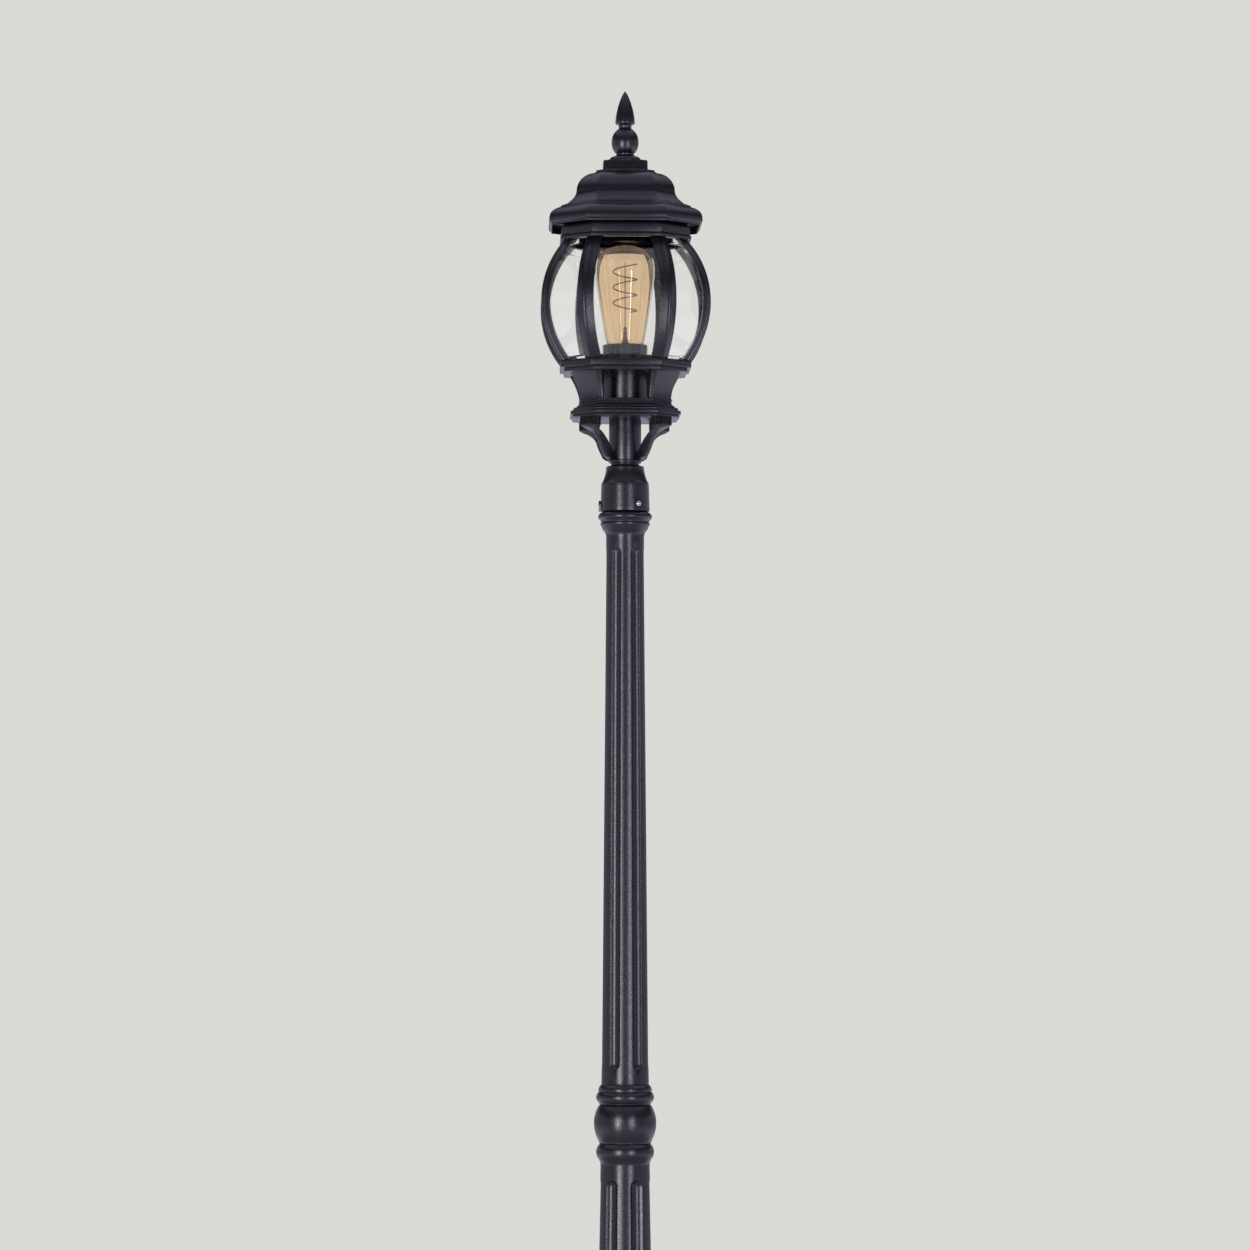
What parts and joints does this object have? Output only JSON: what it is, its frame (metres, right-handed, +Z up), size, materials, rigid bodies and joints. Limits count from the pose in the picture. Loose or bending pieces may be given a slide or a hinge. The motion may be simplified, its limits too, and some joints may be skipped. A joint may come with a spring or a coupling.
{
  "type": "street lamp post",
  "caption": "Tall fluted garden lamp post on a round bell foot, with a ball between its lengths and an eight-sided coach lantern with curved clear panels.",
  "frame": {"origin": "middle of the round foot's underside, on the ground", "axes": "+Z up the post; the lantern's four wide faces look along -Y (front), +X, +Y and -X"},
  "size_m": [0.22, 0.22, 2],
  "materials": {
    "black_casting": "satin black powder coat with a fine grain",
    "plated_steel": "bright zinc plate",
    "clear_panel": "clear and smooth",
    "holder_insert": "matt phenolic",
    "brass": "rolled brass",
    "bulb_glass": "amber tinted clear glass",
    "bulb_cap": "brass-coloured rolled shell",
    "contact": "black insulator",
    "stem_glass": "clear glass",
    "filament": "orange phosphor coating",
    "lead_sheath": "matt black sheath",
    "terminal": "matt white"
  },
  "bodies": {
    "root": {"base_casting": "black_casting", "base_coupling": "plated_steel", "lower_post": "black_casting", "ball_knop": "black_casting", "mid_coupling": "plated_steel", "upper_post": "black_casting", "post_spigot": "plated_steel"},
    "lantern": {"fitter_collar": "black_casting", "stem_tube": "black_casting", "tie_pipe": "plated_steel", "tie_nut": "plated_steel", "scroll_arm_1": "black_casting", "scroll_arm_2": "black_casting", "scroll_arm_3": "black_casting", "scroll_arm_4": "black_casting", "arm_screws": "plated_steel", "bottom_plate": "black_casting", "plate_screws": "plated_steel", "neck_casting": "black_casting", "gallery_ring": "black_casting", "top_ring": "black_casting", "lampholder_can": "black_casting", "lampholder_insert": "holder_insert", "thread_shell": "brass", "centre_contact": "brass", "lantern_lead": "lead_sheath", "terminal_block": "terminal", "rib_1": "black_casting", "rib_2": "black_casting", "rib_3": "black_casting", "rib_4": "black_casting", "rib_5": "black_casting", "rib_6": "black_casting", "rib_7": "black_casting", "rib_8": "black_casting", "wide_panel_1": "clear_panel", "narrow_panel_1": "clear_panel", "wide_panel_2": "clear_panel", "narrow_panel_2": "clear_panel", "wide_panel_3": "clear_panel", "narrow_panel_3": "clear_panel", "wide_panel_4": "clear_panel", "narrow_panel_4": "clear_panel"},
    "roof": {"roof_shell": "black_casting", "roof_skirt": "black_casting", "roof_screws": "plated_steel", "finial_bolt": "plated_steel", "bolt_nut": "plated_steel", "cap_block": "black_casting"},
    "finial_body": {"finial": "black_casting"},
    "bulb": {"bulb_glass": "bulb_glass", "bulb_cap": "bulb_cap", "bulb_contact": "contact", "filament_stem": "stem_glass", "filament": "filament"},
    "set_screw_1_body": {"set_screw_1": "plated_steel"},
    "set_screw_2_body": {"set_screw_2": "plated_steel"},
    "set_screw_3_body": {"set_screw_3": "plated_steel"}
  },
  "joints": [
    {"name": "lantern_swivel", "type": "hinge", "parent": "root", "child": "lantern", "pos_m": [0, 0, 1.5405], "axis": [0, 0, 1], "range_deg": [-180, 180]},
    {"name": "roof_lift", "type": "slide", "parent": "lantern", "child": "roof", "axis": [0, 0, 1], "range_m": [0, 0.16]},
    {"name": "finial_spin", "type": "hinge", "parent": "roof", "child": "finial_body", "pos_m": [0, 0, 1.9219], "axis": [0, 0, 1], "continuous": true},
    {"name": "bulb_lift", "type": "slide", "parent": "lantern", "child": "bulb", "axis": [0, 0, 1], "range_m": [0, 0.026]},
    {"name": "set_screw_1_travel", "type": "slide", "parent": "lantern", "child": "set_screw_1_body", "axis": [0.5, -0.866, 0], "range_m": [0, 0.004]},
    {"name": "set_screw_2_travel", "type": "slide", "parent": "lantern", "child": "set_screw_2_body", "axis": [0.5, 0.866, 0], "range_m": [0, 0.004]},
    {"name": "set_screw_3_travel", "type": "slide", "parent": "lantern", "child": "set_screw_3_body", "axis": [-1, 0, 0], "range_m": [0, 0.004]}
  ]
}
